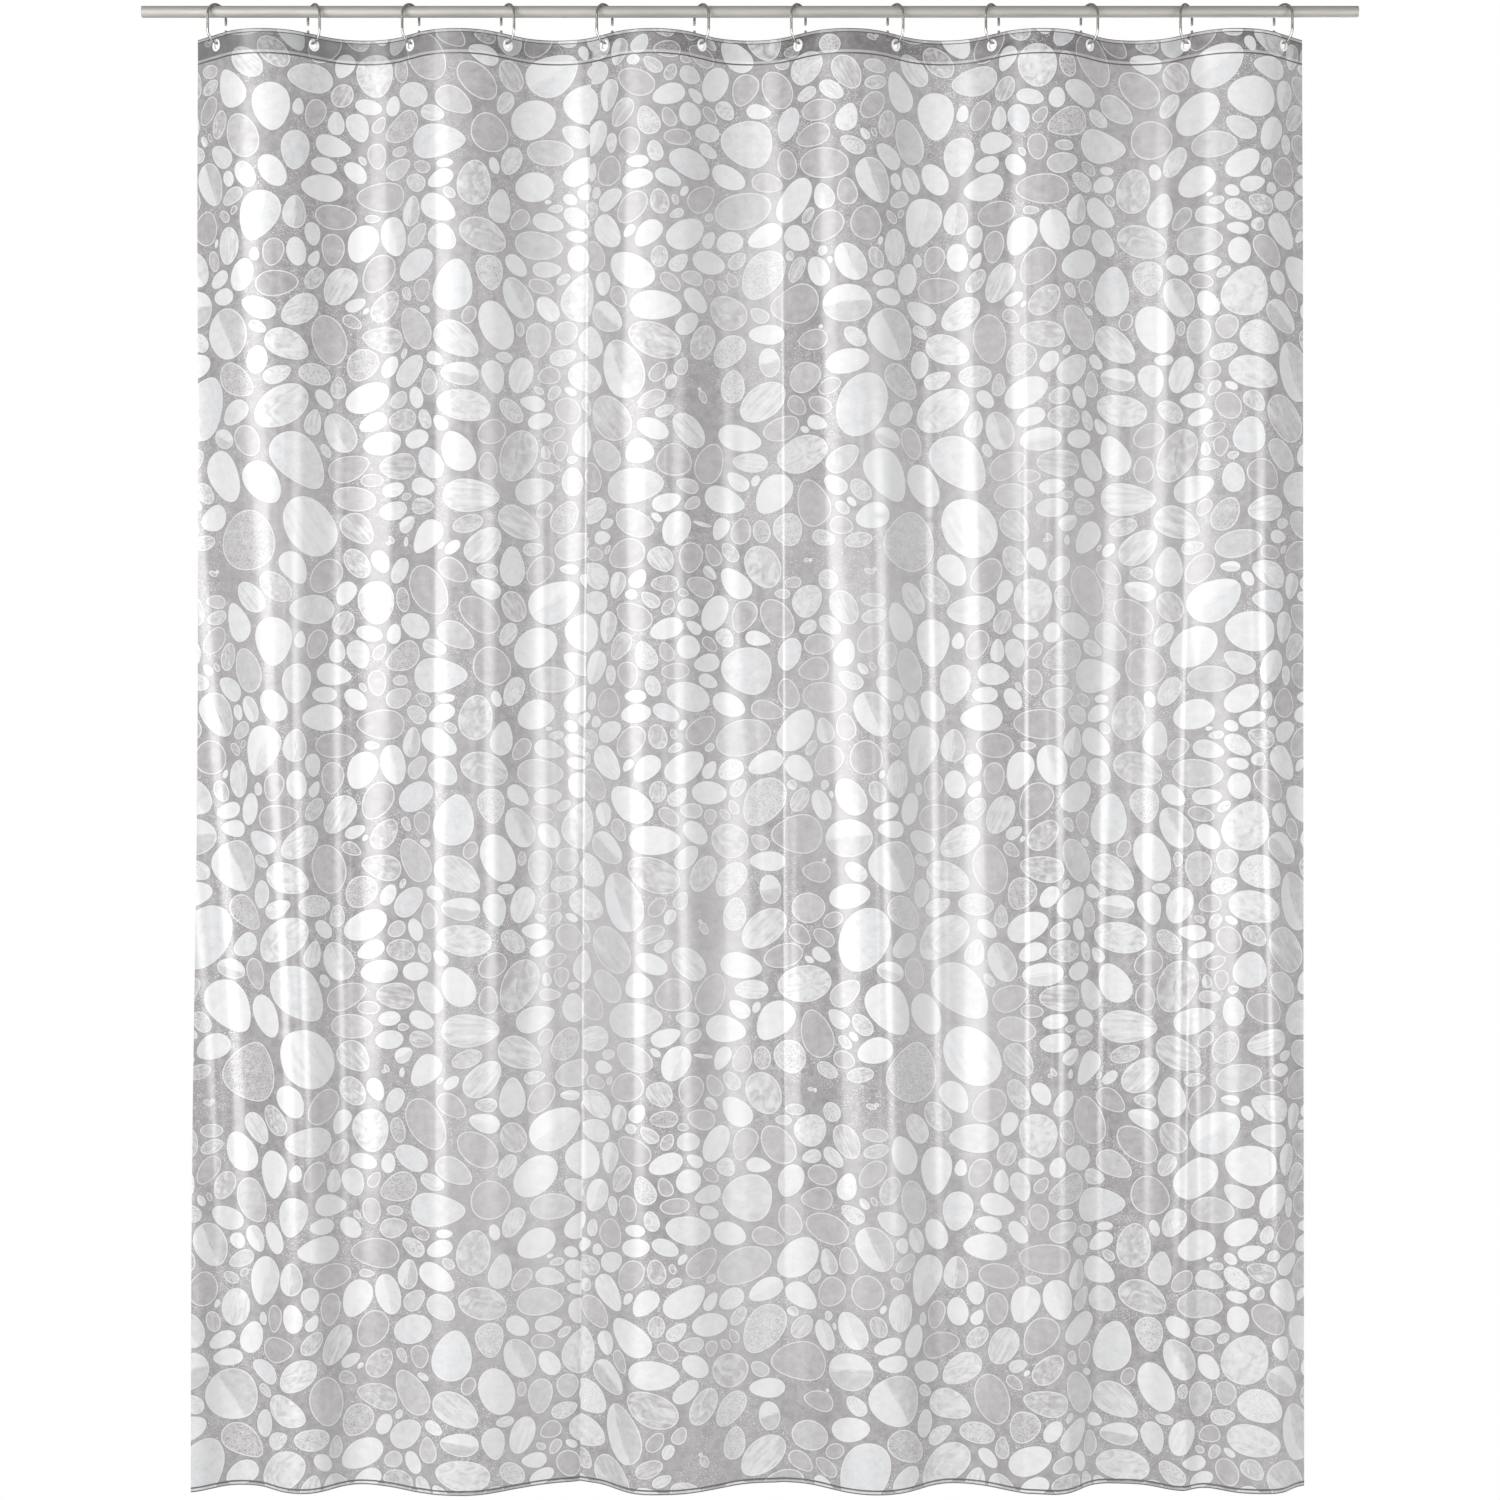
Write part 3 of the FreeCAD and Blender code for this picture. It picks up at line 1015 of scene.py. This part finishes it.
tone = add(tree, "Mix", {"Factor": rim, 2: tone, 3: rim_tone}, data_type="FLOAT").outputs[0]

# Mottle: every ink lies a little unevenly, in blots as wide as a thumb.
BLOT = 13.0  # mm
GROUND_TONE = 0.1  # the bare ground between the pebbles
mottle = add(
    tree, "TexNoise", {"Vector": flat_place, "Scale": 1 / BLOT, "Detail": 5.0, "Roughness": 0.74}
).outputs[0]
mottle = add(
    tree,
    "MapRange",
    {"Value": mottle, "From Min": 0.3, "From Max": 0.7, "To Min": -0.15, "To Max": 0.15},
).outputs[0]

# Haze and painted light: the film is a little milky in tall soft patches, and a painted pool of light
# makes it lighter and greyer in the middle of the sheet.
haze_space = add(
    tree, "Mapping", {"Vector": flat_place, "Scale": (1 / 150, 1 / 520, 1.0)}
).outputs[0]
haze_and_light_pool = add(tree, "TexNoise", {"Vector": haze_space, "Scale": 1.0, "Detail": 3.0}).outputs[0]
haze_and_light_pool = add(
    tree,
    "MapRange",
    {"Value": haze_and_light_pool, "From Min": 0.38, "From Max": 0.62, "To Min": 0.04, "To Max": 0.6},
).outputs[0]
# Painted light: a broad pool, strongest in the middle of the sheet and fading towards its edges.
light_pool_place = add(
    tree,
    "Mapping",
    {"Vector": flat_place, "Location": (-0.95, -1.1, 0.0), "Scale": (1 / 790, 1 / 900, 0.0)},
).outputs[0]
painted_light_pool = add(tree, "VectorMath", {0: light_pool_place}, operation="LENGTH").outputs["Value"]
painted_light_pool = add(
    tree, "MapRange", {"Value": painted_light_pool, "From Min": 1.1, "From Max": 0.4, "To Min": 0.35}
).outputs[0]
haze_and_light_pool = add(tree, "Math", {0: haze_and_light_pool, 1: painted_light_pool}, operation="MULTIPLY").outputs[0]

# Sand: fine specks in the ground, in patches as wide as a few pebbles.
patch = add(tree, "TexNoise", {"Vector": flat_place, "Scale": 1 / 85, "Detail": 1.0}).outputs[0]
patch = add(
    tree, "MapRange", {"Value": patch, "From Min": 0.4, "From Max": 0.6, "To Min": 0.15}
).outputs[0]
sand = add(
    tree, "MapRange", {"Value": speck_ink, "From Min": 0.58, "From Max": 0.7, "To Max": 0.7}
).outputs[0]
sand = add(tree, "Math", {0: sand, 1: patch}, operation="MULTIPLY").outputs[0]
sand = add(tree, "Math", {0: sand, 1: GROUND_TONE}, operation="ADD").outputs[0]
tone = add(tree, "Mix", {"Factor": inside, 2: sand, 3: tone}, data_type="FLOAT").outputs[0]
tone = add(tree, "Math", {0: tone, 1: mottle}, operation="ADD").outputs[0]

# A thin shadow line is printed just outside each pebble, to lift it from the ground.
shadow_line = add(
    tree,
    "MapRange",
    {"Value": nearest_outside, "From Min": 1.3, "From Max": 0.3},
    interpolation_type="SMOOTHSTEP",
).outputs[0]
outside_only = add(tree, "Math", {0: 1.0, 1: inside}, operation="SUBTRACT").outputs[0]
shadow_line = add(tree, "Math", {0: shadow_line, 1: outside_only}, operation="MULTIPLY").outputs[0]
tone = add(tree, "Math", {0: shadow_line, 1: -0.12, 2: tone}, operation="MULTIPLY_ADD").outputs[0]
# The haze and the painted pool of light pull every tone toward a light grey.
tone = add(tree, "Mix", {"Factor": haze_and_light_pool, 2: tone, 3: 0.5}, data_type="FLOAT").outputs[0]
print("nodes with the patterns:", len(tree.nodes))

# %% [markdown]
# Two ramps turn the tone to a colour and to an opacity. The weld under the header
# and the welded hem are pressed bands, drawn by their distance down the film.

# %% Ink colours, opacity and welds
INKS = (  # tone, colour, opacity
    (0.0, "#4C4748", 0.82),
    (0.14, "#6D6768", 0.79),
    (0.36, "#948F91", 0.76),
    (0.68, "#C2C3C5", 0.82),
    (1.0, "#D3D3D4", 0.92),
)
colour_ramp = add(tree, "ValToRGB", {"Fac": tone})
opacity_ramp = add(tree, "ValToRGB", {"Fac": tone})
for ramp, value_of in (
    (colour_ramp, lambda ink: linear(ink[1])),
    (opacity_ramp, lambda ink: (ink[2],) * 3 + (1.0,)),
):
    points = ramp.color_ramp.elements
    while len(points) < len(INKS):
        points.new(0.5)
    for point, ink in zip(points, INKS):
        point.position, point.color = ink[0], value_of(ink)

down = add(tree, "SeparateXYZ", {0: flat_place}).outputs[1]
dark_lines, light_lines = None, None
for middle, half_width, is_dark in (
    (0.5, 0.6, True),
    (2.6, 1.5, False),
    (4.8, 0.6, True),
    (HEADER - 2.2, 1.7, False),
    (HEADER + 0.6, 1.0, True),
    (film_length - HEM - 0.8, 1.1, True),
    (film_length - HEM / 2, 1.2, False),
    (film_length - 0.8, 1.3, True),
):
    line = add(tree, "Math", {0: down, 1: middle, 2: half_width}, operation="COMPARE").outputs[0]
    so_far = dark_lines if is_dark else light_lines
    if so_far is not None:
        line = add(tree, "Math", {0: line, 1: so_far}, operation="MAXIMUM").outputs[0]
    if is_dark:
        dark_lines = line
    else:
        light_lines = line
# Painted shade: the doubled header is darkened toward a dark cool grey, most at the left and fading
# out to the right.
painted_header_shade = add(tree, "Math", {0: down, 1: HEADER}, operation="LESS_THAN").outputs[0]
left_to_right = add(tree, "SeparateXYZ", {0: flat_place}).outputs[0]
painted_header_shade_strength = add(
    tree,
    "MapRange",
    {"Value": left_to_right, "From Min": 230.0, "From Max": 560.0, "To Min": 0.42, "To Max": 0.06},
).outputs[0]
painted_header_shade = add(tree, "Math", {0: painted_header_shade, 1: painted_header_shade_strength}, operation="MULTIPLY").outputs[0]
# Painted shade: the header's colour is mixed toward a dark grey by that strength.
shaded = add(
    tree, "MixRGB", {0: painted_header_shade, 1: colour_ramp.outputs[0], 2: linear("#5B6163")}
).outputs[0]
shaded = add(tree, "MixRGB", {0: dark_lines, 1: shaded, 2: linear("#1E1E1E")}).outputs[0]
line_opacity = add(tree, "Math", {0: dark_lines, 1: 0.93}, operation="MULTIPLY").outputs[0]
opacity = add(
    tree, "Math", {0: opacity_ramp.outputs[0], 1: line_opacity}, operation="MAXIMUM"
).outputs[0]
light_part = add(tree, "Math", {0: light_lines, 1: 0.38}, operation="MULTIPLY").outputs[0]
shaded = add(tree, "MixRGB", {0: light_part, 1: shaded, 2: linear("#F2F2F0")}).outputs[0]
tree.links.new(shaded, shader.inputs["Base Color"])
tree.links.new(opacity, shader.inputs["Alpha"])

# %% [markdown]
# The surface is smooth and a little waxy. A fine orange peel from the calender
# rolls breaks up the gloss, and thick ink is duller than bare film.

# %% Film gloss
PEEL = 2.2  # mm
DRAPE_ACROSS, DRAPE_DOWN = 21.0, 1500.0  # mm, the fine upright waves of hanging film
peel = add(tree, "TexNoise", {"Vector": flat_place, "Scale": 1 / PEEL, "Detail": 2.0}).outputs[0]
peel_bump = add(tree, "Bump", {"Height": peel, "Strength": 0.25, "Distance": 0.03 * MM}).outputs[0]
drape_space = add(
    tree, "Mapping", {"Vector": flat_place, "Scale": (1 / DRAPE_ACROSS, 1 / DRAPE_DOWN, 1.0)}
).outputs[0]
drape = add(
    tree,
    "TexNoise",
    {"Vector": drape_space, "Scale": 1.0, "Detail": 2.0, "Roughness": 0.4, "Distortion": 0.3},
).outputs[0]
drape_bump = add(
    tree, "Bump", {"Height": drape, "Strength": 1.0, "Distance": 0.5 * MM, "Normal": peel_bump}
).outputs[0]
film_polish = add(tree, "MapRange", {"Value": tone, "To Min": 0.3, "To Max": 0.42}).outputs[0]
tree.links.new(film_polish, shader.inputs["Roughness"])
tree.links.new(drape_bump, shader.inputs["Normal"])
tree.links.new(drape_bump, shader.inputs["Coat Normal"])
shader.inputs["IOR"].default_value = 1.48
shader.inputs["Coat Weight"].default_value = 1.0
shader.inputs["Coat Roughness"].default_value = 0.21
shader.inputs["Specular IOR Level"].default_value = 1.0
print("nodes in the film:", len(tree.nodes))

# %% [markdown]
# ## Hanging the strips
#
# Each bay between two rings is two strips, which meet at the crest. The two outer
# strips hang past the end rings and ride with them. A strip's flat width is its
# mean share of the sheet, and the shares add up to the sheet's 1800 mm.

# %% All the strips
strips = []


def hang(name, columns, ring_number, bodies, nodes, bend=None):
    ring = ring_x[ring_number - 1]
    strip = film_strip(name, columns, ring)
    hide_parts(*nodes)
    if bend is None:
        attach(strip, bodies[0])
    else:
        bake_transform(strip)
    strips.append(strip)


last = len(ring_x)
hang("film_left_edge", (ring_x[0] - edge_steps)[::-1], 1, ["panel_01"], ["film_panel_01"])
for bay in range(1, last):
    left, right = ring_x[bay - 1], ring_x[bay]
    crest = (left + right) / 2
    before, fold, after = f"panel_{bay:02d}", f"fold_{bay:02d}", f"panel_{bay + 1:02d}"
    nodes_before = ["film_" + before, "film_" + fold]
    nodes_after = ["film_" + fold, "film_" + after]
    hang(
        f"film_bay_{bay:02d}_left", left + bay_steps, bay,
        [before, fold], nodes_before, (left, crest),
    )
    hang(
        f"film_bay_{bay:02d}_right", (right - bay_steps)[::-1], bay + 1,
        [fold, after], nodes_after, (crest, right),
    )
hang(
    "film_right_edge", ring_x[-1] + edge_steps, last,
    [f"panel_{last:02d}"], [f"film_panel_{last:02d}"],
)
print("strips:", len(strips), "faces:", sum(len(s.data.polygons) for s in strips))
